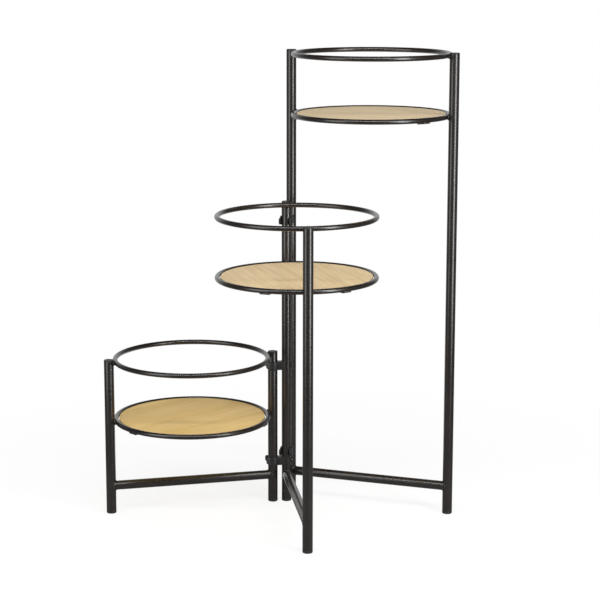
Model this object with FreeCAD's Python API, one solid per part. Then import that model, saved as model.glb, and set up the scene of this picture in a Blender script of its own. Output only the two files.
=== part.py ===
import FreeCAD, Part
import math
import os

# Tiered plant stand: three upright tube frames of stepped height that swivel on each other.
# Each frame has two legs, a thin hoop at the top that steadies a pot, a second hoop below it
# with a round wooden board, and one crossbar near the floor. Plastic clips fastened to a
# taller frame's inner leg snap round the next lower frame's inner leg, which turns in them.
# Sizes are in millimetres and angles in degrees. The origin is on the floor, on the axis of
# the middle frame's inner leg, and the middle frame runs from there towards -Y.

# Frames
low_height = 257.0
middle_height = 506.0
tall_height = 750.0
leg_spacing = 272.0
leg_diameter = 16.0
leg_wall = 1.2
crossbar_height = 46.0
crossbar_diameter = 15.0
crossbar_wall = 1.2

# Turn of each outer frame away from lying flat against the middle frame
tall_opening = 63.0
low_opening = 83.0

# Hoops
rod_diameter = 8.0
top_hoop_drop = 5.0
shelf_hoop_drop = 101.0
low_shelf_hoop_drop = 104.0
weld_sink = 0.5
weld_bead_radius = 4.8
weld_bead_tip_radius = 3.2

# Boards, the tabs under them and their screws
board_thickness = 6.0
board_edge_bevel = 1.0
board_rim_gap = 1.2
tab_width = 16.0
tab_thickness = 2.0
tab_sink = 0.5
tab_overhang = 1.5
tab_reach = 24.0
tab_angle = 30.0
tab_hole_inset = 8.0
board_screw_diameter = 3.5
board_screw_bite = 4.0
board_screw_head_diameter = 7.0
board_screw_head_height = 2.0
board_screw_head_bevel = 0.9

# Leg ends
foot_height = 4.0
foot_rim_round = 1.6
cap_height = 2.0
cap_rim_round = 1.1
plug_length = 12.0
plug_lead_in = 0.8

# Swivel clips
clip_wall = 2.2
clip_height = 14.0
clip_mouth_angle = 118.0
low_leg_lip_length = 7.5
middle_leg_lip_length = 4.8
lip_flare = 20.0
lip_tip_round = 3.6
boss_length = 4.7
boss_width = 12.0
low_clip_above_bar = 9.2
clip_stack_gap = 2.0
low_clip_below_hoop = 8.6
middle_clip_below_hoop = 15.4
hinge_screw_diameter = 4.0
hinge_screw_bite = 4.6
hinge_screw_head_diameter = 7.6
hinge_screw_head_height = 2.4
hinge_screw_head_bevel = 1.2

# Clearances
swivel_clearance = 0.1
plug_clearance = 0.1
screw_clearance = 0.1
screw_end_clearance = 0.4

# Sizes that follow from the ones above
leg_radius = leg_diameter / 2
rod_radius = rod_diameter / 2
hoop_radius = leg_spacing / 2 - leg_radius + weld_sink - rod_radius
board_radius = hoop_radius - rod_radius - board_rim_gap
clip_bore_radius = leg_radius + swivel_clearance
clip_outer_radius = clip_bore_radius + clip_wall
hinge_spacing = leg_radius + boss_length + clip_outer_radius
lower_low_clip = crossbar_height + crossbar_diameter / 2 + low_clip_above_bar + clip_height / 2
lower_middle_clip = lower_low_clip + clip_height + clip_stack_gap
upper_low_clip = low_height - top_hoop_drop - rod_radius - low_clip_below_hoop - clip_height / 2
upper_middle_clip = (middle_height - top_hoop_drop - rod_radius
                     - middle_clip_below_hoop - clip_height / 2)

origin = FreeCAD.Vector(0, 0, 0)
up = FreeCAD.Vector(0, 0, 1)
across = FreeCAD.Vector(0, 1, 0)
along = FreeCAD.Vector(1, 0, 0)

os.makedirs("parts", exist_ok=True)


def save(name, solids, frame):
    """Write solids drawn in a frame's own coordinates as one named part, at the frame's place."""
    placed = []
    for solid in solids:
        copy = solid.copy()
        copy.rotate(origin, up, frame["direction"])
        copy.translate(frame["place"])
        placed.append(copy)
    shape = placed[0] if len(placed) == 1 else Part.makeCompound(placed)
    shape.exportStep("parts/" + name + ".step")


def circle_edges(shape, radius, height):
    """The circular edges of a shape that have this radius and lie at this height."""
    found = []
    for edge in shape.Edges:
        if not isinstance(edge.Curve, Part.Circle):
            continue
        same_radius = abs(edge.Curve.Radius - radius) < 1e-6
        same_height = abs(edge.Curve.Center.z - height) < 1e-6
        if same_radius and same_height:
            found.append(edge)
    return found


def leg_envelope(x, height):
    """The outer cylinder of a leg, that what is welded or fastened to the leg is cut by."""
    return Part.makeCylinder(leg_radius, height, FreeCAD.Vector(x, 0, 0), up)


def leg(x, height, screw_levels):
    """A tube between its foot and its cap, drilled across the frame for each hinge screw."""
    bottom = FreeCAD.Vector(x, 0, foot_height)
    length = height - foot_height - cap_height
    tube = Part.makeCylinder(leg_radius, length, bottom, up)
    tube = tube.cut(Part.makeCylinder(leg_radius - leg_wall, length, bottom, up))
    hole_radius = hinge_screw_diameter / 2 + screw_clearance
    for level in screw_levels:
        start = FreeCAD.Vector(x, -leg_diameter, level)
        tube = tube.cut(Part.makeCylinder(hole_radius, 2 * leg_diameter, start, across))
    return tube


def end_plug(head_height, rim_round):
    """A plastic plug, outer face at Z 0 and plug upwards, for the end of a leg."""
    head = Part.makeCylinder(leg_radius, head_height)
    head = head.makeFillet(rim_round, circle_edges(head, leg_radius, 0))
    plug_radius = leg_radius - leg_wall - plug_clearance
    plug = Part.makeCylinder(plug_radius, plug_length, FreeCAD.Vector(0, 0, head_height), up)
    tip = circle_edges(plug, plug_radius, head_height + plug_length)
    plug = plug.makeChamfer(plug_lead_in, tip)
    return head.fuse(plug).removeSplitter()


def feet():
    """The two plastic feet under a frame."""
    pair = []
    for x in (0, leg_spacing):
        foot = end_plug(foot_height, foot_rim_round)
        foot.translate(FreeCAD.Vector(x, 0, 0))
        pair.append(foot)
    return pair


def caps(height):
    """The two plastic caps that close a frame's legs at the top."""
    pair = []
    for x in (0, leg_spacing):
        cap = end_plug(cap_height, cap_rim_round)
        cap.rotate(origin, along, 180)
        cap.translate(FreeCAD.Vector(x, 0, height))
        pair.append(cap)
    return pair


def hoop(level, height):
    """A round rod bent to a ring between the legs, with a weld bead where it meets each."""
    centre = FreeCAD.Vector(leg_spacing / 2, 0, level)
    ring = Part.makeTorus(hoop_radius, rod_radius, centre, up)
    bead_start = math.sqrt(leg_radius ** 2 - weld_bead_radius ** 2)
    bead_length = leg_radius - bead_start + rod_radius
    for x, inwards in ((0, along), (leg_spacing, -along)):
        foot = FreeCAD.Vector(x, 0, level) + bead_start * inwards
        bead = Part.makeCone(weld_bead_radius, weld_bead_tip_radius, bead_length, foot, inwards)
        ring = ring.fuse(bead)
    for x in (0, leg_spacing):
        ring = ring.cut(leg_envelope(x, height))
    return ring


def crossbar(height):
    """A tube between the legs, each end coped to the leg's round."""
    start = FreeCAD.Vector(0, 0, crossbar_height)
    bar = Part.makeCylinder(crossbar_diameter / 2, leg_spacing, start, along)
    bore_radius = crossbar_diameter / 2 - crossbar_wall
    bar = bar.cut(Part.makeCylinder(bore_radius, leg_spacing, start, along))
    for x in (0, leg_spacing):
        bar = bar.cut(leg_envelope(x, height))
    return bar


def tab_angles():
    """Where the four tabs sit round a shelf hoop: two near each leg."""
    return [tab_angle, 180 - tab_angle, 180 + tab_angle, 360 - tab_angle]


def round_the_hoop(shape, angle):
    """Turn something drawn on the +X side of the hoop's centre to its place round the hoop."""
    shape.rotate(origin, up, angle)
    shape.translate(FreeCAD.Vector(leg_spacing / 2, 0, 0))
    return shape


def board_underside(shelf_level):
    """The level of the tabs' top faces, that the board lies on."""
    return shelf_level - rod_radius + tab_sink


def screw_circle():
    """The radius from the hoop's centre at which the board's screws sit."""
    return hoop_radius + tab_overhang - tab_reach + tab_hole_inset


def tabs(shelf_level):
    """Flat strips welded under the shelf hoop, rounded at the inner end, that hold the board."""
    outer_end = hoop_radius + tab_overhang
    inner_end = outer_end - tab_reach
    top = board_underside(shelf_level)
    hoop_centre = FreeCAD.Vector(leg_spacing / 2, 0, shelf_level)
    rod = Part.makeTorus(hoop_radius, rod_radius, hoop_centre, up)
    straight = tab_reach - tab_width / 2
    corner = FreeCAD.Vector(outer_end - straight, -tab_width / 2, top - tab_thickness)
    centre = FreeCAD.Vector(inner_end + tab_width / 2, 0, top - tab_thickness)
    hole_at = FreeCAD.Vector(screw_circle(), 0, top - tab_thickness)
    hole_radius = board_screw_diameter / 2 + screw_clearance
    found = []
    for angle in tab_angles():
        strip = Part.makeBox(straight, tab_width, tab_thickness, corner)
        strip = strip.fuse(Part.makeCylinder(tab_width / 2, tab_thickness, centre, up))
        strip = strip.removeSplitter()
        strip = strip.cut(Part.makeCylinder(hole_radius, tab_thickness, hole_at, up))
        strip = round_the_hoop(strip, angle)
        found.append(strip.cut(rod))
    return found


def board(shelf_level):
    """A round wooden board with bevelled edges and a blind pilot hole over each tab."""
    bottom = board_underside(shelf_level)
    centre = FreeCAD.Vector(leg_spacing / 2, 0, bottom)
    disc = Part.makeCylinder(board_radius, board_thickness, centre, up)
    rims = circle_edges(disc, board_radius, bottom)
    rims += circle_edges(disc, board_radius, bottom + board_thickness)
    disc = disc.makeChamfer(board_edge_bevel, rims)
    pilot_radius = board_screw_diameter / 2 + screw_clearance
    depth = board_screw_bite + screw_end_clearance
    for angle in tab_angles():
        start = FreeCAD.Vector(screw_circle(), 0, bottom)
        pilot = Part.makeCylinder(pilot_radius, depth, start, up)
        disc = disc.cut(round_the_hoop(pilot, angle))
    return disc


def screw(diameter, length, head_diameter, head_height, head_bevel):
    """A bevel-headed screw: shank from Z 0 upwards, head below, its bearing face at Z 0."""
    head_radius = head_diameter / 2
    head = Part.makeCylinder(head_radius, head_height, FreeCAD.Vector(0, 0, -head_height), up)
    head = head.makeChamfer(head_bevel, circle_edges(head, head_radius, -head_height))
    return head.fuse(Part.makeCylinder(diameter / 2, length)).removeSplitter()


def board_screws(shelf_level):
    """The screws that come up through the tabs into the board."""
    length = tab_thickness + board_screw_bite
    level = board_underside(shelf_level) - tab_thickness
    found = []
    for angle in tab_angles():
        one = screw(board_screw_diameter, length, board_screw_head_diameter,
                    board_screw_head_height, board_screw_head_bevel)
        one.translate(FreeCAD.Vector(screw_circle(), 0, level))
        found.append(round_the_hoop(one, angle))
    return found


def lip_outline(length):
    """The side of a lip in the YZ plane: root line at Y 0, round tip towards -Y at the top,
    and a slanting lower edge that runs from the tip's round back to the foot of the root."""
    foot = FreeCAD.Vector(0, 0, 0)
    head = FreeCAD.Vector(0, 0, clip_height)
    centre = FreeCAD.Vector(0, lip_tip_round - length, clip_height - lip_tip_round)
    back = math.atan2(-centre.z, -centre.y)
    slant = back - math.acos(lip_tip_round / centre.Length)
    halfway = (math.pi / 2 + slant + 2 * math.pi) / 2

    def on_tip(turn):
        return centre + lip_tip_round * FreeCAD.Vector(0, math.cos(turn), math.sin(turn))

    tip = Part.Arc(on_tip(math.pi / 2), on_tip(halfway), on_tip(slant)).toShape()
    edges = [Part.makeLine(foot, head), Part.makeLine(head, on_tip(math.pi / 2)), tip,
             Part.makeLine(on_tip(slant), foot)]
    return Part.Face(Part.Wire(edges))


def clip_lip(side, bottom, length, round_end_up):
    """A flared lip on one side of the clip's mouth that guides the leg in."""
    mid_radius = clip_bore_radius + clip_wall / 2
    half_mouth = math.radians(clip_mouth_angle / 2)
    strip = lip_outline(length).extrude(clip_wall * along)
    strip.translate(-clip_wall / 2 * along)
    if not round_end_up:
        strip.rotate(FreeCAD.Vector(0, 0, clip_height / 2), across, 180)
    strip = strip.fuse(Part.makeCylinder(clip_wall / 2, clip_height))
    strip.rotate(origin, up, side * lip_flare)
    root = FreeCAD.Vector(side * math.sin(half_mouth), -math.cos(half_mouth), 0)
    strip.translate(mid_radius * root + FreeCAD.Vector(0, -hinge_spacing, bottom))
    return strip


def clip(level, carrier_height, lip_length, round_end_up):
    """A C-shaped clip round the next leg, with a boss that saddles the leg that carries it."""
    bottom = level - clip_height / 2
    centre = FreeCAD.Vector(0, -hinge_spacing, bottom)
    boss_start = FreeCAD.Vector(-boss_width / 2, -hinge_spacing, bottom)
    body = Part.makeBox(boss_width, hinge_spacing, clip_height, boss_start)
    body = body.fuse(Part.makeCylinder(clip_outer_radius, clip_height, centre, up))
    body = body.removeSplitter()
    half_mouth = math.radians(clip_mouth_angle / 2)
    reach = 2 * clip_outer_radius
    left = centre + FreeCAD.Vector(-reach * math.sin(half_mouth), -reach * math.cos(half_mouth), 0)
    right = centre + FreeCAD.Vector(reach * math.sin(half_mouth), -reach * math.cos(half_mouth), 0)
    far = centre + FreeCAD.Vector(0, -2 * reach, 0)
    mouth = Part.Face(Part.makePolygon([centre, left, far, right, centre]))
    body = body.cut(mouth.extrude(FreeCAD.Vector(0, 0, clip_height)))
    for side in (-1, 1):
        body = body.fuse(clip_lip(side, bottom, lip_length, round_end_up))
    body = body.cut(Part.makeCylinder(clip_bore_radius, clip_height, centre, up))
    body = body.cut(leg_envelope(0, carrier_height)).removeSplitter()
    pilot_radius = hinge_screw_diameter / 2 + screw_clearance
    depth = leg_radius + hinge_screw_bite + screw_end_clearance
    start = FreeCAD.Vector(0, 0, level)
    return body.cut(Part.makeCylinder(pilot_radius, depth, start, -across))


def hinge_screw(level):
    """The screw that goes through the carrying leg, across the frame, into the clip's boss."""
    length = leg_diameter + hinge_screw_bite
    one = screw(hinge_screw_diameter, length, hinge_screw_head_diameter,
                hinge_screw_head_height, hinge_screw_head_bevel)
    one.rotate(origin, along, 90)
    one.translate(FreeCAD.Vector(0, leg_radius, level))
    return one


def turned(vector, angle):
    """A horizontal vector turned about the vertical."""
    return FreeCAD.Rotation(up, angle).multVec(vector)


# Places of the frames: each frame runs along its own +X from its inner leg, and a clip holds
# the next lower frame's inner leg one hinge spacing to the carrying frame's -Y side.
middle_direction = -90.0
tall_direction = middle_direction + tall_opening
low_direction = middle_direction - low_opening
clip_offset = FreeCAD.Vector(0, -hinge_spacing, 0)

frames = [
    {"name": "low", "height": low_height, "direction": low_direction,
     "shelf_drop": low_shelf_hoop_drop, "place": turned(clip_offset, middle_direction),
     "clip_levels": []},
    {"name": "middle", "height": middle_height, "direction": middle_direction,
     "shelf_drop": shelf_hoop_drop, "place": origin,
     "clip_levels": [lower_low_clip, upper_low_clip],
     "lip_length": low_leg_lip_length, "round_end_up": True},
    {"name": "tall", "height": tall_height, "direction": tall_direction,
     "shelf_drop": shelf_hoop_drop, "place": turned(-clip_offset, tall_direction),
     "clip_levels": [lower_middle_clip, upper_middle_clip],
     "lip_length": middle_leg_lip_length, "round_end_up": False},
]

for frame in frames:
    name = frame["name"]
    height = frame["height"]
    shelf_level = height - frame["shelf_drop"]
    save(name + "_inner_leg", [leg(0, height, frame["clip_levels"])], frame)
    save(name + "_outer_leg", [leg(leg_spacing, height, [])], frame)
    save(name + "_feet", feet(), frame)
    save(name + "_leg_caps", caps(height), frame)
    save(name + "_crossbar", [crossbar(height)], frame)
    save(name + "_top_hoop", [hoop(height - top_hoop_drop, height)], frame)
    save(name + "_shelf_hoop", [hoop(shelf_level, height)], frame)
    save(name + "_board_tabs", tabs(shelf_level), frame)
    save(name + "_board", [board(shelf_level)], frame)
    save(name + "_board_screws", board_screws(shelf_level), frame)
    for position, level in zip(("lower", "upper"), frame["clip_levels"]):
        shape = clip(level, height, frame["lip_length"], frame["round_end_up"])
        save(name + "_" + position + "_swivel_clip", [shape], frame)
        save(name + "_" + position + "_clip_screw", [hinge_screw(level)], frame)
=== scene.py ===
import math

import bmesh
import bpy
import numpy as np
from mathutils import Matrix, Vector


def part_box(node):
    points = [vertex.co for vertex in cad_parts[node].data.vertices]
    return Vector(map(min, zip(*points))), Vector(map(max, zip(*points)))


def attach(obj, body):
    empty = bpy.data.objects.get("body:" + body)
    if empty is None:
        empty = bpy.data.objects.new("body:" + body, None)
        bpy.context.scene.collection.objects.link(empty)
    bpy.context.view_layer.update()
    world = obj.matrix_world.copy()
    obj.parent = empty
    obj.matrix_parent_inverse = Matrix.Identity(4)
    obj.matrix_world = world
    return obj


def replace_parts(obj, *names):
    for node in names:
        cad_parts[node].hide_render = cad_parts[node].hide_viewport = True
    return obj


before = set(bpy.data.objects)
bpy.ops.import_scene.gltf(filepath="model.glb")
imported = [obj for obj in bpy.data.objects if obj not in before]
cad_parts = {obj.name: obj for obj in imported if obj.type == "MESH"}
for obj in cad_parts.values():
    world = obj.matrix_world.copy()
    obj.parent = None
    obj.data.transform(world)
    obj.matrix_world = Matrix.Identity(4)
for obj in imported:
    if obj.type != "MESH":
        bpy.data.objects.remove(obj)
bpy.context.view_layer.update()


# ---------------------------------------------------------------------------------------
# Camera. It stands about three metres in front of the stand, a little under a metre above
# the floor, and looks slightly down, so the boards show as narrow ellipses.
# ---------------------------------------------------------------------------------------
picture_pixels = 600
focal_pixels = 1854.3
sensor_width = 36.0
nearest_seen = 0.1
farthest_seen = 200.0
camera_place = Vector((-0.35445, -2.96740, 0.92995))
camera_yaw = math.radians(7.237)
camera_pitch = math.radians(-11.130)
camera_roll = math.radians(0.068)

view_forward = Vector((math.sin(camera_yaw) * math.cos(camera_pitch),
                       math.cos(camera_yaw) * math.cos(camera_pitch),
                       math.sin(camera_pitch)))
level_right = Vector((math.cos(camera_yaw), -math.sin(camera_yaw), 0.0))
level_up = level_right.cross(view_forward)
view_right = math.cos(camera_roll) * level_right + math.sin(camera_roll) * level_up
view_up = math.cos(camera_roll) * level_up - math.sin(camera_roll) * level_right

camera_data = bpy.data.cameras.new("studio_camera")
camera_data.sensor_width = sensor_width
camera_data.lens = focal_pixels * sensor_width / picture_pixels
camera_data.clip_start = nearest_seen
camera_data.clip_end = farthest_seen
camera = bpy.data.objects.new("studio_camera", camera_data)
bpy.context.scene.collection.objects.link(camera)
turn = Matrix((view_right, view_up, -view_forward)).transposed().to_4x4()
camera.matrix_world = Matrix.Translation(camera_place) @ turn
bpy.context.scene.camera = camera


# ---------------------------------------------------------------------------------------
# Studio. White paper under and behind the stand, two upright softboxes in front of it to
# the left and right, and a wide, flat one between them that hangs higher.
# ---------------------------------------------------------------------------------------
def new_material(name):
    """An empty node material and its Principled shader, wired to the output."""
    material = bpy.data.materials.new(name)
    material.use_nodes = True
    nodes = material.node_tree.nodes
    nodes.clear()
    output = nodes.new("ShaderNodeOutputMaterial")
    shader = nodes.new("ShaderNodeBsdfPrincipled")
    material.node_tree.links.new(shader.outputs["BSDF"], output.inputs["Surface"])
    return material, shader


def joiner(nodes, links):
    """Two short ways to make a number in a node tree out of other numbers."""
    def faded(value, start, end, at_start, at_end):
        """A soft passage from one number to another while the value runs from start to
        end."""
        fade = nodes.new("ShaderNodeMapRange")
        fade.interpolation_type = "SMOOTHSTEP"
        for socket, number in (("From Min", start), ("From Max", end),
                               ("To Min", at_start), ("To Max", at_end)):
            fade.inputs[socket].default_value = number
        links.new(value, fade.inputs["Value"])
        return fade.outputs["Result"]

    def chosen(when, otherwise, then):
        """One number for the rays that a light path output marks, another for the rest."""
        choice = nodes.new("ShaderNodeMapRange")
        links.new(when, choice.inputs["Value"])
        for value, socket in ((otherwise, "To Min"), (then, "To Max")):
            if isinstance(value, float):
                choice.inputs[socket].default_value = value
            else:
                links.new(value, choice.inputs[socket])
        return choice.outputs["Result"]

    return faded, chosen


# Shiny surfaces see the room at this brightness in front of the stand and beside it. The
# lit set behind it starts and is full where a heading has these shares of +Y.
room_brightness = 0.15
backdrop_from = 0.50
backdrop_full = 0.97

# The paper's grey, and how plain white takes its place: by a share near the stand that
# grows to all of it between two distances in metres.
paper_grey = 0.90
paper_roughness = 0.9
paper_shine = 0.1
white_near = 0.82
white_grows_from = 0.30
white_full_from = 0.9


def paper_white():
    """White paper that takes the stand's shadow. As the camera and shiny surfaces see it,
    most of it is plain white near the stand, and all of it farther off. Shiny surfaces see
    it dimmer beside the stand and towards the camera, where the lit set ends. The plain
    white lights nothing, so no lamp rays are spent on it."""
    material, paper = new_material("paper_white")
    material.cycles.emission_sampling = "NONE"
    nodes = material.node_tree.nodes
    links = material.node_tree.links
    faded, chosen = joiner(nodes, links)
    paper.inputs["Base Color"].default_value = (paper_grey, paper_grey, paper_grey, 1.0)
    paper.inputs["Roughness"].default_value = paper_roughness
    paper.inputs["Specular IOR Level"].default_value = paper_shine
    white = nodes.new("ShaderNodeEmission")
    rays = nodes.new("ShaderNodeLightPath")
    place = nodes.new("ShaderNodeTexCoord")
    away = nodes.new("ShaderNodeVectorMath")
    away.operation = "LENGTH"
    links.new(place.outputs["Object"], away.inputs[0])
    heading = nodes.new("ShaderNodeVectorMath")
    heading.operation = "NORMALIZE"
    links.new(place.outputs["Object"], heading.inputs[0])
    split = nodes.new("ShaderNodeSeparateXYZ")
    links.new(heading.outputs["Vector"], split.inputs["Vector"])
    share = faded(away.outputs["Value"], white_grows_from, white_full_from, white_near, 1.0)
    room = faded(split.outputs["Y"], backdrop_from, backdrop_full, room_brightness, 1.0)
    links.new(chosen(rays.outputs["Is Camera Ray"], room, 1.0), white.inputs["Strength"])
    seen = chosen(rays.outputs["Is Glossy Ray"], 0.0, share)
    seen = chosen(rays.outputs["Is Transmission Ray"], seen, share)
    seen = chosen(rays.outputs["Is Camera Ray"], seen, share)
    mixed = nodes.new("ShaderNodeMixShader")
    links.new(seen, mixed.inputs["Fac"])
    links.new(paper.outputs["BSDF"], mixed.inputs[1])
    links.new(white.outputs["Emission"], mixed.inputs[2])
    output = next(node for node in nodes if node.type == "OUTPUT_MATERIAL")
    links.new(mixed.outputs["Shader"], output.inputs["Surface"])
    return material


def grid_faces(rows, columns, wrap_rows, wrap_columns):
    """Corner numbers of the quads between neighbouring points of a grid. A wrapped
    direction also joins its last line of points to its first."""
    row = np.arange(rows if wrap_rows else rows - 1)
    column = np.arange(columns if wrap_columns else columns - 1)
    row, column = np.meshgrid(row, column, indexing="ij")
    next_row = (row + 1) % rows
    next_column = (column + 1) % columns
    corners = [row * columns + column, next_row * columns + column,
               next_row * columns + next_column, row * columns + next_column]
    return np.stack(corners, axis=-1).reshape(-1, 4)


floor_reach = 30.0
floor_lines = 3
floor_far = np.linspace(-floor_reach, floor_reach, floor_lines)
floor_x, floor_y = np.meshgrid(floor_far, floor_far, indexing="ij")
floor_points = np.stack([floor_x, floor_y, np.zeros_like(floor_x)], axis=-1)
floor_mesh = bpy.data.meshes.new("paper_floor")
floor_mesh.from_pydata(floor_points.reshape(-1, 3).tolist(), [],
                       grid_faces(floor_lines, floor_lines, False, False).tolist())
floor_mesh.materials.append(paper_white())
floor = bpy.data.objects.new("paper_floor", floor_mesh)
bpy.context.scene.collection.objects.link(floor)

# The surround starts to dim and is dimmest where a direction has these shares of +Z. What
# it gives to the light on matt surfaces is a plain level.
ceiling_from = 0.25
ceiling_full = 0.75
ceiling_brightness = 0.2
light_all_round = 0.55


def studio_world():
    """A white surround that dims towards the ceiling. Shiny surfaces see a dimmer room
    beside the stand and behind the camera; the light from all round is dimmer too."""
    world = bpy.data.worlds.new("studio_world")
    bpy.context.scene.world = world
    world.use_nodes = True
    nodes = world.node_tree.nodes
    links = world.node_tree.links
    nodes.clear()
    faded, chosen = joiner(nodes, links)
    output = nodes.new("ShaderNodeOutputWorld")
    background = nodes.new("ShaderNodeBackground")
    background.inputs["Color"].default_value = (1.0, 1.0, 1.0, 1.0)
    rays = nodes.new("ShaderNodeLightPath")
    place = nodes.new("ShaderNodeTexCoord")
    split = nodes.new("ShaderNodeSeparateXYZ")
    links.new(place.outputs["Generated"], split.inputs["Vector"])
    ceiling = faded(split.outputs["Z"], ceiling_from, ceiling_full, 1.0, ceiling_brightness)
    room = faded(split.outputs["Y"], backdrop_from, backdrop_full, room_brightness, 1.0)
    both = nodes.new("ShaderNodeMath")
    both.operation = "MULTIPLY"
    links.new(ceiling, both.inputs[0])
    links.new(room, both.inputs[1])
    strength = chosen(rays.outputs["Is Glossy Ray"], light_all_round, both.outputs["Value"])
    strength = chosen(rays.outputs["Is Transmission Ray"], strength, ceiling)
    strength = chosen(rays.outputs["Is Camera Ray"], strength, ceiling)
    links.new(strength, background.inputs["Strength"])
    links.new(background.outputs["Background"], output.inputs["Surface"])


studio_world()

softboxes = {
    "left_softbox": dict(azimuth=-56.0, distance=1.5, height=0.80, width=0.80, tall=1.6,
                         power=10.5, aim_height=0.6),
    "right_softbox": dict(azimuth=37.0, distance=1.5, height=0.80, width=0.42, tall=1.6,
                          power=20.0, aim_height=0.6),
    "front_softbox": dict(azimuth=-8.0, distance=1.5, height=1.90, width=2.2, tall=0.20,
                          power=27.0, aim_height=0.45),
}


def softbox(name, azimuth, distance, height, width, tall, power, aim_height):
    """A rectangular lamp at an azimuth from the camera's side of the stand (degrees,
    positive to the right), at a distance and height in metres. It faces a point above the
    stand's hinge leg."""
    light = bpy.data.lights.new(name, "AREA")
    light.shape = "RECTANGLE"
    light.size = width
    light.size_y = tall
    light.energy = power
    lamp = bpy.data.objects.new(name, light)
    bpy.context.scene.collection.objects.link(lamp)
    round_stand = math.radians(azimuth)
    place = Vector((distance * math.sin(round_stand), -distance * math.cos(round_stand),
                    height))
    aim = Vector((0.0, 0.0, aim_height))
    lamp.location = place
    lamp.rotation_euler = (aim - place).to_track_quat("-Z", "Y").to_euler()
    lamp.visible_camera = False


for name, facts in softboxes.items():
    softbox(name, **facts)
bpy.context.scene.view_settings.view_transform = "Standard"


# ---------------------------------------------------------------------------------------
# Legs. Each frame has two 16 mm steel tubes, cut square, powder coated in satin black with
# everything that is welded to them. The coat has a fine orange-peel skin.
# ---------------------------------------------------------------------------------------
leg_radius = 0.008
leg_wall = 0.0012
leg_spacing = 0.272
hinge_spacing = 0.023
foot_height = 0.004
cap_height = 0.002
tube_inner_edge = 0.0002
tube_outer_edge = 0.0003
frame_heights = {"low": 0.257, "middle": 0.506, "tall": 0.750}
frame_directions = {"low": -173.0, "middle": -90.0, "tall": -27.0}


def turned_flat(points, degrees):
    """Points turned about the vertical through the origin."""
    angle = math.radians(degrees)
    x = points[..., 0] * math.cos(angle) - points[..., 1] * math.sin(angle)
    y = points[..., 0] * math.sin(angle) + points[..., 1] * math.cos(angle)
    return np.stack([x, y, points[..., 2]], axis=-1)


def in_frame(name, points):
    """Points drawn in a frame's own axes (inner leg at the origin, outer leg on +X), taken
    to that frame's place: the clips set each frame one hinge spacing beside the next."""
    beside = np.array([0.0, -hinge_spacing, 0.0])
    place = {"low": turned_flat(beside, frame_directions["middle"]),
             "middle": np.zeros(3),
             "tall": turned_flat(-beside, frame_directions["tall"])}
    return turned_flat(points, frame_directions[name]) + place[name]


def close(mesh, nearest=1e-7):
    """Merge points that fall together and turn all faces outwards."""
    work = bmesh.new()
    work.from_mesh(mesh)
    bmesh.ops.remove_doubles(work, verts=work.verts, dist=nearest)
    bmesh.ops.recalc_face_normals(work, faces=work.faces)
    work.to_mesh(mesh)
    work.free()


def finish_piece(name, mesh, body, material, smooth_below):
    """Shade a mesh smooth below an angle and hang it on its body as a finished piece."""
    mesh.shade_smooth()
    mesh.set_sharp_from_angle(angle=math.radians(smooth_below))
    mesh.materials.append(material)
    piece = bpy.data.objects.new(name, mesh)
    bpy.context.scene.collection.objects.link(piece)
    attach(piece, body)
    return piece


def skin(name, grids, body, material, smooth_below=35.0):
    """One piece from several grids of points, each with its two wrap flags. Points that
    fall together at a pole are merged, then the faces are turned outwards."""
    points, faces, start = [], [], 0
    for grid, wrap_rows, wrap_columns in grids:
        rows, columns, _ = grid.shape
        points.append(grid.reshape(-1, 3))
        faces.append(grid_faces(rows, columns, wrap_rows, wrap_columns) + start)
        start += rows * columns
    mesh = bpy.data.meshes.new(name)
    mesh.from_pydata(np.concatenate(points).tolist(), [], np.concatenate(faces).tolist())
    close(mesh)
    return finish_piece(name, mesh, body, material, smooth_below)


def softened(corners, reaches, steps=5):
    """A line through corners in which each corner gives way to a curve. The curve starts
    one reach before the corner and ends one reach after it, and its points are
    (1-t)^2 start + 2t(1-t) corner + t^2 end. A reach of 0 keeps the corner."""
    corners = np.asarray(corners, float)
    t = np.linspace(0.0, 1.0, steps)[:, None]
    line = []
    for i, (corner, reach) in enumerate(zip(corners, reaches)):
        if reach == 0.0:
            line.append(corner[None, :])
            continue
        before = corners[i - 1] - corner
        after = corners[(i + 1) % len(corners)] - corner
        start = corner + reach * before / np.linalg.norm(before)
        end = corner + reach * after / np.linalg.norm(after)
        line.append((1 - t) ** 2 * start + 2 * t * (1 - t) * corner + t ** 2 * end)
    return np.concatenate(line)


def full_turn(steps):
    """Angles at even steps once round, without the last one, which would be the first."""
    return np.linspace(0.0, 2 * math.pi, steps, endpoint=False)


def turned(profile, steps=96):
    """A profile of (radius, height) pairs carried once round the Z axis."""
    angle = full_turn(steps)
    radius, height = np.asarray(profile).T
    return np.stack([np.outer(radius, np.cos(angle)), np.outer(radius, np.sin(angle)),
                     np.repeat(height[:, None], steps, axis=1)], axis=-1)


def node_maker(material):
    """Three short ways to build the node tree of a finish."""
    nodes = material.node_tree.nodes
    links = material.node_tree.links

    def make(kind, settings=None, **sockets):
        """A node with its settings and sockets. A socket goes by its name, or by its number
        after a low line, and takes a plain value or what another node gives."""
        node = nodes.new("ShaderNode" + kind)
        for key, value in (settings or {}).items():
            setattr(node, key, value)
        for key, value in sockets.items():
            number = key[1:]
            socket = node.inputs[int(number) if number.isdigit() else key.replace("_", " ")]
            if isinstance(value, bpy.types.NodeSocket):
                links.new(value, socket)
            else:
                socket.default_value = value
        return node

    def spread(noise, least, most, start=0.3, end=0.7):
        """A noise stretched from the range where most of it lies to two other numbers."""
        return make("MapRange", {"clamp": True}, Value=noise, From_Min=start, From_Max=end,
                    To_Min=least, To_Max=most).outputs["Result"]

    def blended(way, share, under, over):
        """Two colours mixed or multiplied, by a share of the upper one."""
        return make("Mix", {"data_type": "RGBA", "blend_type": way},
                    _0=share, _6=under, _7=over).outputs[2]

    return make, spread, blended


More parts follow.
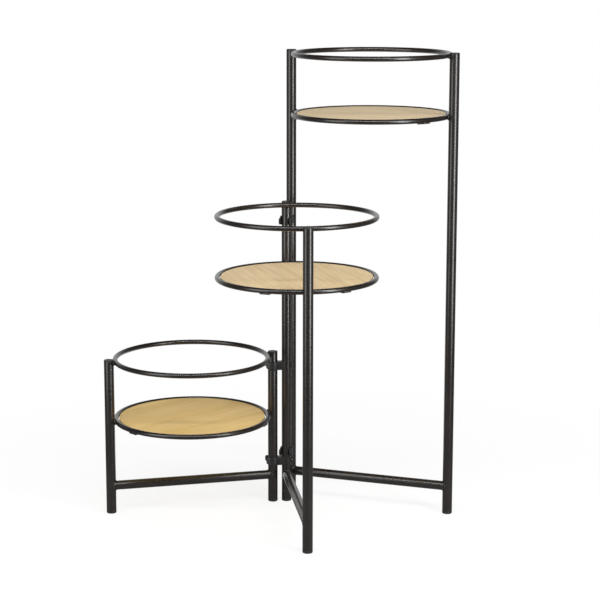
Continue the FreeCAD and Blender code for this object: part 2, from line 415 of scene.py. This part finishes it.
patches_per_metre = 22.0
gloss_drift = 0.02


def moulded_skin(name, colour, roughness, specular, grain_per_metre, grain_depth, drift):
    """A dark hard surface, for the powder coat and the moulded plastics. Over broad patches
    its colour drifts by a share and its gloss by a little, and a fine grain stands out."""
    material, shader = new_material(name)
    make, spread, blended = node_maker(material)
    links = material.node_tree.links
    place = make("TexCoord").outputs["Object"]
    broad = make("TexNoise", Vector=place, Scale=patches_per_metre, Detail=3.0,
                 Roughness=0.6).outputs[0]
    fine = make("TexNoise", Vector=place, Scale=grain_per_metre, Detail=2.0,
                Roughness=0.45).outputs[0]
    tone = spread(broad, 1.0 - drift, 1.0 + drift)
    gloss = spread(broad, roughness - gloss_drift, roughness + gloss_drift)
    bump = make("Bump", Strength=1.0, Distance=grain_depth, Height=fine)
    links.new(blended("MULTIPLY", 1.0, (*colour, 1.0), tone), shader.inputs["Base Color"])
    links.new(gloss, shader.inputs["Roughness"])
    links.new(bump.outputs["Normal"], shader.inputs["Normal"])
    shader.inputs["Specular IOR Level"].default_value = specular
    return material


powder_coat = moulded_skin("powder_coat", colour=(0.0075, 0.0052, 0.0038), roughness=0.28,
                           specular=0.8, grain_per_metre=1100.0, grain_depth=0.000003,
                           drift=0.2)

for name, height in frame_heights.items():
    for side, x in (("inner", 0.0), ("outer", leg_spacing)):
        wall = softened([(leg_radius - leg_wall, foot_height),
                         (leg_radius, foot_height),
                         (leg_radius, height - cap_height),
                         (leg_radius - leg_wall, height - cap_height)],
                        [tube_inner_edge, tube_outer_edge, tube_outer_edge, tube_inner_edge])
        tube = turned(wall) + np.array([x, 0.0, 0.0])
        leg = skin(f"{name}_{side}_leg_tube", [(in_frame(name, tube), True, True)],
                   f"{name}_frame", powder_coat)
        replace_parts(leg, f"{name}_{side}_leg")


# ---------------------------------------------------------------------------------------
# Feet and caps. Moulded plastic plugs pushed into the leg ends: a foot stands 4 mm below
# the tube with a rounded rim and a hollowed sole, a cap closes the top with a flat face.
# ---------------------------------------------------------------------------------------
plug_radius = 0.0067
plug_length = 0.012
foot_rim = 0.0018
foot_hollow = 0.0006
cap_rim = 0.0012

# Where the face's middle ends and its border starts, in shares of the leg's radius, and
# how far the rounding of each corner reaches.
face_middle = 0.55
face_border = 0.7
middle_round = 0.0004
border_round = 0.0006
head_round = 0.0003
neck_round = 0.0002
stem_round = 0.0008
plug_plastic = moulded_skin("plug_plastic", colour=(0.016, 0.016, 0.017), roughness=0.48,
                            specular=0.4, grain_per_metre=700.0, grain_depth=0.00005,
                            drift=0.15)


def leg_plug(head, rim, hollow):
    """Profile of a plug with its outer face at height 0 and its stem upwards. The middle of
    the face is sunk by the hollow, and the rim is rounded. Each corner is a radius, a
    height and how far its rounding reaches."""
    corners = np.array([(0.0, hollow, 0.0),
                        (face_middle * leg_radius, hollow, middle_round),
                        (face_border * leg_radius, 0.0, border_round),
                        (leg_radius, 0.0, rim),
                        (leg_radius, head, head_round),
                        (plug_radius, head, neck_round),
                        (plug_radius, head + plug_length, stem_round),
                        (0.0, head + plug_length, 0.0)])
    return softened(corners[:, :2], corners[:, 2], 9)


for name, height in frame_heights.items():
    foot = turned(leg_plug(foot_height, foot_rim, foot_hollow))
    cap = turned(leg_plug(cap_height, cap_rim, 0.0)) * np.array([1.0, 1.0, -1.0])
    pairs = {"feet": foot, "leg_caps": cap + np.array([0.0, 0.0, height])}
    for what, shape in pairs.items():
        grids = [(in_frame(name, shape + np.array([x, 0.0, 0.0])), False, True)
                 for x in (0.0, leg_spacing)]
        plugs = skin(f"{name}_{what}_moulded", grids, f"{name}_frame",
                     plug_plastic)
        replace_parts(plugs, f"{name}_{what}")


# ---------------------------------------------------------------------------------------
# Hoops. Two 8 mm rods to each frame, rolled to a full ring that touches both legs and is
# welded to them: the top one steadies the pot, the lower one carries the board's tabs.
# ---------------------------------------------------------------------------------------
rod_radius = 0.004
hoop_radius = 0.1245
top_hoop_drop = 0.005
shelf_hoop_drops = {"low": 0.104, "middle": 0.101, "tall": 0.101}

# The bead round the spot where a hoop meets a leg: its line is this wide and rises this
# far above and below the rod, and stands off the leg. The cap leaves less room above.
hoop_bead_half_width = 0.0047
hoop_bead_rise = 0.0036
hoop_bead_rise_under_cap = 0.0018
hoop_bead_thickness = 0.00125
hoop_bead_swell = 0.0004
hoop_bead_ripple = 0.00012
hoop_bead_ripples = 14
hoop_bead_stand = 0.0003
bead_smooth_below = 60.0


def hoop_ring(level):
    """A torus about the point between the legs: the first parameter goes round the ring,
    the second round the rod."""
    u = full_turn(288)[:, None]
    v = full_turn(32)[None, :]
    reach = hoop_radius + rod_radius * np.cos(v)
    return np.stack([leg_spacing / 2 + reach * np.cos(u), reach * np.sin(u),
                     level + rod_radius * np.sin(v) + 0.0 * u], axis=-1)


def hoop_weld(level, upper_reach, lower_reach):
    """A bead laid round the spot where the rod touches the inner leg. Its line is an oval
    on the leg's surface; its section is a circle, thicker above and below the rod, that
    swells and shrinks a little as the bead was laid."""
    around = full_turn(96)[:, None]
    section = full_turn(12)[None, :]
    side = hoop_bead_half_width * np.sin(around)
    rise = np.where(np.cos(around) > 0, upper_reach, lower_reach) * np.cos(around)
    thick = (hoop_bead_thickness + hoop_bead_swell * np.abs(np.cos(around))
             + hoop_bead_ripple * np.cos(hoop_bead_ripples * around))
    spread = thick * np.cos(section)
    out = np.sqrt(leg_radius ** 2 - side ** 2) + hoop_bead_stand + thick * np.sin(section)
    return np.stack([out, side + spread * np.sin(around),
                     level + rise + spread * np.cos(around)], axis=-1)


def at_outer_leg(points):
    """What is drawn at the inner leg, mirrored to the outer one."""
    return points * np.array([-1.0, 1.0, 1.0]) + np.array([leg_spacing, 0.0, 0.0])


for name, height in frame_heights.items():
    welds = []
    for which, drop, upper_reach in (("top", top_hoop_drop, hoop_bead_rise_under_cap),
                                     ("shelf", shelf_hoop_drops[name], hoop_bead_rise)):
        ring = in_frame(name, hoop_ring(height - drop))
        hoop = skin(f"{name}_{which}_hoop_rod", [(ring, True, True)],
                    f"{name}_frame", powder_coat)
        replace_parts(hoop, f"{name}_{which}_hoop")
        bead = hoop_weld(height - drop, upper_reach, hoop_bead_rise)
        for one in (bead, at_outer_leg(bead)):
            welds.append((in_frame(name, one), True, True))
    skin(f"{name}_hoop_welds", welds, f"{name}_frame", powder_coat,
         bead_smooth_below)


# ---------------------------------------------------------------------------------------
# Crossbars. A 15 mm tube between the legs near the floor, each end coped to the leg's round
# and welded all round it.
# ---------------------------------------------------------------------------------------
crossbar_level = 0.046
crossbar_radius = 0.0075
crossbar_sink = 0.0003
crossbar_bead_thickness = 0.0010
crossbar_bead_ripple = 0.00010
crossbar_bead_ripples = 28
crossbar_bead_widest = 1.12


def crossbar_tube():
    """Circles about the bar's own axis. The first and last follow the legs' surface, where
    x = sqrt(leg radius^2 - y^2), and close inside the leg's wall."""
    v = full_turn(64)[None, :]
    reach = crossbar_radius * np.array([[0.0], [0.5], [1.0]])
    across = reach * np.cos(v)
    rise = reach * np.sin(v)
    end = np.sqrt(leg_radius ** 2 - across ** 2) - crossbar_sink
    x = np.concatenate([end, leg_spacing - end[::-1]])
    return np.stack([x, np.concatenate([across, across[::-1]]),
                     crossbar_level + np.concatenate([rise, rise[::-1]])], axis=-1)


def crossbar_weld():
    """A bead along the line where the bar meets the inner leg, with a ripple for each short
    step of the torch. Its section is a circle across that line, held back at the sides,
    where the leg's surface runs along the bar."""
    around = full_turn(168)[:, None]
    section = full_turn(12)[None, :]
    across = crossbar_radius * np.cos(around)
    rise = crossbar_radius * np.sin(around)
    thick = (crossbar_bead_thickness
             + crossbar_bead_ripple * np.cos(crossbar_bead_ripples * around))
    out = np.sqrt(leg_radius ** 2 - across ** 2) + thick * np.cos(section)
    spread = 1.0 + thick * np.sin(section) / crossbar_radius
    return np.stack([out, across * np.minimum(spread, crossbar_bead_widest),
                     crossbar_level + rise * spread], axis=-1)


for name in frame_heights:
    bar = skin(f"{name}_crossbar_tube", [(in_frame(name, crossbar_tube()), False, True)],
               f"{name}_frame", powder_coat)
    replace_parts(bar, f"{name}_crossbar")
    beads = [(in_frame(name, one), True, True)
             for one in (crossbar_weld(), at_outer_leg(crossbar_weld()))]
    skin(f"{name}_crossbar_welds", beads, f"{name}_frame", powder_coat,
         bead_smooth_below)


# ---------------------------------------------------------------------------------------
# Board tabs. Four short strips of 2 mm steel under each lower hoop, with a rounded inner
# end, welded to the underside of the rod and coated with it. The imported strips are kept.
# ---------------------------------------------------------------------------------------
tab_angles = (30.0, 150.0, 210.0, 330.0)
tab_half_width = 0.008
board_sink = 0.0005

# The bead on each side of the rod spans a share of the tab's width. Its ripple is a share
# of its thickness.
tab_bead_thickness = 0.0013
tab_bead_ripple = 0.08
tab_bead_ripples = 9
tab_bead_share = 0.88
tab_bead_beside_rod = 0.0026
tab_bead_above_tab = 0.0006


def round_the_hoop(points, degrees):
    """What is drawn on the +X side of the hoop's centre, turned to its place round it."""
    return turned_flat(points, degrees) + np.array([leg_spacing / 2, 0.0, 0.0])


def tab_weld(level, side):
    """A short bead across the tab in the corner between its top and the rod, rippled along
    its length and closed by shrinking its section to nothing at both ends, by the root of
    1 - t^4 with t from -1 to 1 along it."""
    t = np.linspace(-1.0, 1.0, 41)[:, None]
    section = full_turn(12)[None, :]
    thick = (tab_bead_thickness * np.sqrt(np.clip(1.0 - t ** 4, 0.0, 1.0))
             * (1.0 + tab_bead_ripple * np.cos(tab_bead_ripples * math.pi * t)))
    y = tab_bead_share * tab_half_width * t + 0.0 * section
    radius = np.sqrt((hoop_radius + side * tab_bead_beside_rod) ** 2 - y ** 2)
    height_on_tab = level - rod_radius + tab_bead_above_tab + thick * np.sin(section)
    return np.stack([radius + thick * np.cos(section), y, height_on_tab], axis=-1)


for name, height in frame_heights.items():
    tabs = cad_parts[f"{name}_board_tabs"]
    tabs.data.materials.clear()
    tabs.data.materials.append(powder_coat)
    level = height - shelf_hoop_drops[name]
    beads = [(in_frame(name, round_the_hoop(tab_weld(level, side), angle)), False, True)
             for angle in tab_angles for side in (-1, 1)]
    skin(f"{name}_tab_welds", beads, f"{name}_frame", powder_coat,
         bead_smooth_below)


# ---------------------------------------------------------------------------------------
# Boards. A 6 mm round wooden board inside each lower hoop, sanded, with eased edges and a
# thin matt lacquer. Grain direction and scale differ from board to board. The tones differ
# too, as painted light: one wood, coloured for how the light falls on each board.
# ---------------------------------------------------------------------------------------
board_radius = 0.1193
board_thickness = 0.006
board_edge_ease = 0.0011

# How often the parts of the wood's pattern come in a metre, with the grain and across it.
# For the figure and the growth lines it is a share of the scale across.
figure_with_grain = 0.16
lines_with_grain = 0.03
fibres_each_way = (45.0, 2400.0)
pores_each_way = (110.0, 3000.0)
streaks_each_way = (6.0, 26.0)

# How strongly they show.
streak_noise = (0.56, 0.72)
streak_share = 0.6
fibre_contrast = 0.04
pore_noise = (0.62, 0.72)
pore_tone = 0.84
smoother_fibre = 0.05
rougher_fibre = 0.07
relief_strength = 0.6
relief_depth = 0.00008
lacquer_shine = 0.15


def lacquered_wood(name, light, dark, streak, grain_angle, centre, figure_scale,
                   figure_contrast, line_scale, line_contrast, gloss):
    """Sawn wood on the board's own axes: the pattern is centred on the board and turned so
    that x runs with the grain. Broad figure and growth lines come from noise drawn out
    along x, fibres and pores from much finer noise that also roughens the surface."""
    material, shader = new_material(name)
    make, spread, blended = node_maker(material)
    links = material.node_tree.links
    place = make("TexCoord").outputs["Object"]
    grain = make("Mapping", {"vector_type": "TEXTURE"}, Vector=place, Location=centre,
                 Rotation=(0.0, 0.0, math.radians(grain_angle))).outputs["Vector"]

    def drawn_out(with_grain, across, **more):
        """Noise with its own scale along and across the grain."""
        stretch = make("Mapping", {"vector_type": "POINT"}, Vector=grain,
                       Scale=(with_grain, across, across)).outputs["Vector"]
        return make("TexNoise", Vector=stretch, Scale=1.0, **more).outputs[0]

    figure = drawn_out(figure_with_grain * figure_scale, figure_scale,
                       Detail=4.0, Roughness=0.62, Distortion=0.25)
    lines = drawn_out(lines_with_grain * line_scale, line_scale,
                      Detail=3.0, Roughness=0.6, Distortion=0.15)
    fibres = drawn_out(*fibres_each_way, Detail=2.0, Roughness=0.6)
    pores = drawn_out(*pores_each_way, Detail=1.0, Roughness=0.5)
    warm = drawn_out(*streaks_each_way, Detail=2.0, Roughness=0.5)

    base = make("ValToRGB", Fac=figure)
    for stop, position, colour in zip(base.color_ramp.elements,
                                      (0.5 - figure_contrast, 0.5 + figure_contrast),
                                      (dark, light)):
        stop.position = position
        stop.color = (*colour, 1.0)
    streaks = spread(warm, 0.0, streak_share, *streak_noise)
    streaked = blended("MIX", streaks, base.outputs["Color"], (*streak, 1.0))

    shade = spread(lines, 1.0 - line_contrast, 1.0 + line_contrast)
    hair = spread(fibres, 1.0 - fibre_contrast, 1.0 + fibre_contrast)
    pits = spread(pores, 1.0, pore_tone, *pore_noise)
    both = make("Math", {"operation": "MULTIPLY"}, _0=shade, _1=hair).outputs[0]
    all_three = make("Math", {"operation": "MULTIPLY"}, _0=both, _1=pits).outputs[0]
    links.new(blended("MULTIPLY", 1.0, streaked, all_three), shader.inputs["Base Color"])

    sheen = spread(fibres, gloss - smoother_fibre, gloss + rougher_fibre)
    links.new(sheen, shader.inputs["Roughness"])
    relief = make("Math", {"operation": "ADD"}, _0=all_three, _1=fibres).outputs[0]
    bump = make("Bump", Strength=relief_strength, Distance=relief_depth, Height=relief)
    links.new(bump.outputs["Normal"], shader.inputs["Normal"])
    shader.inputs["Specular IOR Level"].default_value = lacquer_shine
    return material


# The colours set here differ from board to board as painted light: the same wood, made
# lighter, darker, greyer or warmer for how the light falls on each board. The grain facts are
# the wood's own.
board_woods = {
    "low": dict(light=(0.65, 0.47, 0.20), dark=(0.55, 0.37, 0.13),
                streak=(0.58, 0.37, 0.14), grain_angle=38.0, figure_scale=24.0,
                figure_contrast=0.16, line_scale=110.0, line_contrast=0.05, gloss=0.62),
    "middle": dict(light=(0.64, 0.50, 0.30), dark=(0.56, 0.42, 0.235),
                   streak=(0.57, 0.41, 0.23), grain_angle=-81.0, figure_scale=44.0,
                   figure_contrast=0.18, line_scale=210.0, line_contrast=0.12, gloss=0.62),
    "tall": dict(light=(0.60, 0.475, 0.30), dark=(0.53, 0.41, 0.25),
                 streak=(0.54, 0.41, 0.25), grain_angle=-18.0, figure_scale=36.0,
                 figure_contrast=0.2, line_scale=260.0, line_contrast=0.08, gloss=0.62),
}

# The rim's wood is darker by these shares of red, green and blue. Faces whose normal has
# less than the tilt's share of Z belong to the rim.
rim_of_light = (0.72, 0.62, 0.52)
rim_of_dark = (0.72, 0.60, 0.50)
rim_gloss = 0.65
rim_tilt = 0.55


def darker(colour, shares):
    """A colour with each part scaled, for the rim where the wood is cut across."""
    return tuple(part * share for part, share in zip(colour, shares))


def board_disc(bottom):
    """A round disc from its profile: flat top, eased upper edge, straight rim, eased lower
    edge, flat underside."""
    top = bottom + board_thickness
    profile = softened([(0.0, top), (0.5 * board_radius, top), (board_radius, top),
                        (board_radius, bottom), (0.5 * board_radius, bottom), (0.0, bottom)],
                       [0.0, 0.0, board_edge_ease, board_edge_ease, 0.0, 0.0], 7)
    return turned(profile, 240) + np.array([leg_spacing / 2, 0.0, 0.0])


for name, height in frame_heights.items():
    bottom = height - shelf_hoop_drops[name] - rod_radius + board_sink
    centre = tuple(in_frame(name, np.array([leg_spacing / 2, 0.0, bottom])))
    facts = board_woods[name]
    face_wood = lacquered_wood(f"{name}_board_wood", centre=centre, **facts)
    rim_facts = dict(facts, light=darker(facts["light"], rim_of_light),
                     dark=darker(facts["dark"], rim_of_dark), gloss=rim_gloss)
    rim_wood = lacquered_wood(f"{name}_board_rim", centre=centre, **rim_facts)
    disc = skin(f"{name}_round_board", [(in_frame(name, board_disc(bottom)), False, True)],
                f"{name}_frame", face_wood)
    disc.data.materials.append(rim_wood)
    facing = np.empty(len(disc.data.polygons) * 3, np.float32)
    disc.data.polygons.foreach_get("normal", facing)
    on_rim = (np.abs(facing.reshape(-1, 3)[:, 2]) < rim_tilt).astype(np.int32)
    disc.data.polygons.foreach_set("material_index", on_rim)
    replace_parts(disc, f"{name}_board")


# ---------------------------------------------------------------------------------------
# Screws. Black steel button heads with a hexagonal socket: four small ones come up through
# the tabs into each board, and one goes through the leg into the boss of each clip.
# ---------------------------------------------------------------------------------------
steel_dark = (0.05, 0.05, 0.052)
steel_light = (0.13, 0.13, 0.135)
steel_smoothest = 0.28
steel_roughest = 0.44
turning_lines_per_metre = 1800.0
steel_patches_per_metre = 160.0
turning_depth = 0.00003


def black_steel():
    """Blackened steel: a dark metal whose sheen is broken by a fine turned grain."""
    material, shader = new_material("black_steel")
    make, spread, _ = node_maker(material)
    links = material.node_tree.links
    place = make("TexCoord").outputs["Object"]
    fine = make("TexNoise", Vector=place, Scale=turning_lines_per_metre, Detail=2.0,
                Roughness=0.5).outputs[0]
    broad = make("TexNoise", Vector=place, Scale=steel_patches_per_metre, Detail=2.0,
                 Roughness=0.5).outputs[0]
    tone = make("ValToRGB", Fac=broad)
    tone.color_ramp.elements[0].color = (*steel_dark, 1.0)
    tone.color_ramp.elements[1].color = (*steel_light, 1.0)
    sheen = spread(fine, steel_smoothest, steel_roughest, 0.0, 1.0)
    bump = make("Bump", Strength=0.5, Distance=turning_depth, Height=fine)
    links.new(tone.outputs["Color"], shader.inputs["Base Color"])
    links.new(sheen, shader.inputs["Roughness"])
    links.new(bump.outputs["Normal"], shader.inputs["Normal"])
    shader.inputs["Metallic"].default_value = 1.0
    return material


# A button head in shares of its radius and height: the socket's half width and the dome's
# top edge round it, the straight part of the head and the level of the socket's floor.
socket_width = 0.38
dome_top = 1.25
head_straight = 0.35
socket_floor = 0.45


def button_screw(shank_radius, length, head_radius, head_height, steps=60):
    """A profile turned about Z: shank from 0 upwards, crowned head below 0. The socket's
    rows are drawn in to a hexagon, whose radius at an angle a from the middle of its
    nearest side is the half width divided by cos a."""
    crown = np.linspace(0.0, 0.5 * math.pi, 8)
    socket = socket_width * head_radius
    dome_radius = head_radius - (head_radius - dome_top * socket) * (1.0 - np.cos(crown))
    dome_height = -head_height * (head_straight + (1.0 - head_straight) * np.sin(crown))
    floor_level = -socket_floor * head_height
    radius = np.concatenate([[0.0, socket, socket], dome_radius[::-1],
                             [head_radius, shank_radius, shank_radius, 0.0]])
    height = np.concatenate([[floor_level, floor_level, -head_height],
                             dome_height[::-1], [0.0, 0.0, length, length]])
    surface = turned(np.stack([radius, height], axis=-1), steps)
    nearest = (full_turn(steps) + math.pi / 6) % (math.pi / 3) - math.pi / 6
    surface[1:3, :, :2] *= (1.0 / np.cos(nearest))[None, :, None]
    return surface


screw_steel = black_steel()
board_screw = dict(shank_radius=0.00175, length=0.006, head_radius=0.0035,
                   head_height=0.002)
board_screw_circle = 0.110
tab_thickness = 0.002

for name, height in frame_heights.items():
    under_tab = height - shelf_hoop_drops[name] - rod_radius + board_sink - tab_thickness
    one = button_screw(**board_screw) + np.array([board_screw_circle, 0.0, under_tab])
    grids = [(in_frame(name, round_the_hoop(one, angle)), False, True)
             for angle in tab_angles]
    screws = skin(f"{name}_button_screws", grids, f"{name}_frame",
                  screw_steel)
    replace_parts(screws, f"{name}_board_screws")


# ---------------------------------------------------------------------------------------
# Swivel clips. Moulded black nylon: a C that snaps round the next frame's leg, two splayed
# lips at its mouth, and a boss that saddles the leg it is screwed to.
# ---------------------------------------------------------------------------------------
clip_bore = 0.0081
clip_outer = 0.0103
clip_height = 0.014
clip_half_mouth = math.radians(59.0)
clip_edge = 0.0005
clip_smooth_below = 40.0
outline_points = 720
outline_softness = 0.00028

# The lips flare outwards from the mouth. Their foot slants over part of their height, and
# a share of each face stays flat.
lip_lengths = {"middle": 0.0075, "tall": 0.0048}
lip_flare = math.radians(20.0)
lip_slant = 0.00936
lip_root_round = 0.0004
lip_slant_round = 0.0024
lip_tip_round = 0.0034
lip_flat_share = 0.86

boss_half_width = 0.006
clip_screw = dict(shank_radius=0.002, length=0.0206, head_radius=0.0038,
                  head_height=0.0024)
clip_nylon = moulded_skin("clip_nylon", colour=(0.011, 0.011, 0.0115), roughness=0.42,
                          specular=0.45, grain_per_metre=1100.0, grain_depth=0.00004,
                          drift=0.1)

clip_half_wall = (clip_outer - clip_bore) / 2
mouth_angle = -math.pi / 2 + clip_half_mouth
mouth_end = (clip_bore + clip_half_wall) * np.array([math.cos(mouth_angle),
                                                     math.sin(mouth_angle)])


def arc(centre, radius, start, end, count):
    """Points on a circle from one angle to another, in radians."""
    angle = np.linspace(start, end, count)[:, None]
    rim = np.concatenate([np.cos(angle), np.sin(angle)], axis=1)
    return np.asarray(centre) + radius * rim


def clip_outline():
    """The clip without its lips seen from above, bore centre at the origin and mouth
    towards -Y, as one closed line at even steps. Corners are rounded by averaging each
    point with its neighbours under a bell curve."""
    boss_root = math.acos(boss_half_width / clip_outer)
    saddle = math.acos(boss_half_width / leg_radius)
    right = np.concatenate([
        arc((0.0, hinge_spacing), leg_radius, -math.pi / 2, -saddle, 24),
        [[boss_half_width, clip_outer * math.sin(boss_root)]],
        arc((0.0, 0.0), clip_outer, boss_root, mouth_angle, 48)[1:],
        arc(mouth_end, clip_half_wall, mouth_angle, mouth_angle - math.pi, 13)[1:-1],
        arc((0.0, 0.0), clip_bore, mouth_angle, math.pi / 2, 72)])
    left = right[::-1][1:-1] * np.array([-1.0, 1.0])
    line = np.concatenate([right, left])
    closed = np.concatenate([line, line[:1]])
    steps = np.linalg.norm(np.diff(closed, axis=0), axis=1)
    run = np.concatenate([[0.0], np.cumsum(steps)])
    even = np.linspace(0.0, run[-1], outline_points, endpoint=False)
    even_line = np.stack([np.interp(even, run, closed[:, k]) for k in (0, 1)], axis=-1)
    turns = np.fft.fftfreq(outline_points, d=run[-1] / outline_points)
    bell = np.exp(-0.5 * (2 * math.pi * turns * outline_softness) ** 2)
    return np.real(np.fft.ifft(np.fft.fft(even_line, axis=0) * bell[:, None], axis=0))


def lip_plate(side, length, round_end_up):
    """A lip as a flat plate with softened edges. Its outline is straight where it leaves
    the clip, round at the tip and slanting at the foot. Points run from the middle of one
    face out to the rim, over it and back to the middle of the other face."""
    outline = softened([(0.0, 0.0), (length, clip_height - lip_slant),
                        (length, clip_height), (0.0, clip_height)],
                       [lip_root_round, lip_slant_round, lip_tip_round, lip_root_round], 12)
    heart = outline.mean(axis=0)
    t = np.linspace(0.0, math.pi, 13)
    over_rim = lip_flat_share + (1.0 - lip_flat_share) * np.sin(t)
    share = np.concatenate([[0.0, 0.5], over_rim, [0.5, 0.0]])
    depth = np.concatenate([[1.0, 1.0], np.cos(t), [-1.0, -1.0]]) * clip_half_wall
    flat = heart + share[:, None, None] * (outline - heart)[None, :, :]
    along_lip, level = flat[..., 0], flat[..., 1]
    if not round_end_up:
        level = clip_height - level
    out = np.broadcast_to(depth[:, None], along_lip.shape)
    x = mouth_end[0] + along_lip * math.sin(lip_flare) + out * math.cos(lip_flare)
    y = mouth_end[1] - along_lip * math.cos(lip_flare) + out * math.sin(lip_flare)
    return np.stack([side * x, y, level], axis=-1)


def moulded_from(outline, height, edge):
    """An outline carried upwards. Near both ends it steps inwards along its own normal by
    edge * (1 - sin t) while it rises by edge * (1 - cos t), which rounds the edges."""
    tangent = np.roll(outline, -1, axis=0) - np.roll(outline, 1, axis=0)
    tangent /= np.linalg.norm(tangent, axis=1)[:, None]
    normal = np.stack([tangent[:, 1], -tangent[:, 0]], axis=-1)
    area = np.sum(outline[:, 0] * np.roll(outline[:, 1], -1)
                  - np.roll(outline[:, 0], -1) * outline[:, 1])
    normal *= math.copysign(1.0, area)
    t = np.linspace(0.0, math.pi / 2, 6)
    inset = edge * (1.0 - np.sin(t))
    rise = edge * (1.0 - np.cos(t))
    inset = np.concatenate([inset, inset[::-1]])
    level = np.concatenate([rise, height - rise[::-1]])
    flat = outline[None, :, :] - inset[:, None, None] * normal[None, :, :]
    levels = np.repeat(level[:, None], len(outline), axis=1)[:, :, None]
    return np.concatenate([flat, levels], axis=-1)


def clip_piece(name, carrier, bottom):
    """The clip's walls as a grid, closed above and below by one flat face each, and its
    two lips."""
    body = moulded_from(clip_outline(), clip_height, clip_edge)
    rows, columns, _ = body.shape
    points = [body.reshape(-1, 3)]
    faces = grid_faces(rows, columns, False, True).tolist()
    faces.append(list(range(columns)))
    faces.append(list(range((rows - 1) * columns, rows * columns)))
    for side in (-1.0, 1.0):
        lip = lip_plate(side, lip_lengths[carrier], carrier == "middle")
        start = sum(len(part) for part in points)
        faces += (grid_faces(*lip.shape[:2], False, True) + start).tolist()
        points.append(lip.reshape(-1, 3))
    points = np.concatenate(points) + np.array([0.0, -hinge_spacing, bottom])
    mesh = bpy.data.meshes.new(name)
    mesh.from_pydata(in_frame(carrier, points).tolist(), [], faces)
    close(mesh)
    return finish_piece(name, mesh, f"{carrier}_frame", clip_nylon,
                        clip_smooth_below)


for carrier in ("middle", "tall"):
    for position in ("lower", "upper"):
        node = f"{carrier}_{position}_swivel_clip"
        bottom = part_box(node)[0].z
        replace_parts(clip_piece(f"{carrier}_{position}_clip_moulded", carrier, bottom), node)
        one = button_screw(**clip_screw)
        one = np.stack([one[..., 0], leg_radius - one[..., 2],
                        one[..., 1] + bottom + clip_height / 2], axis=-1)
        screw = skin(f"{carrier}_{position}_button_screw",
                     [(in_frame(carrier, one), False, True)],
                     f"{carrier}_frame", screw_steel)
        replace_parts(screw, f"{carrier}_{position}_clip_screw")
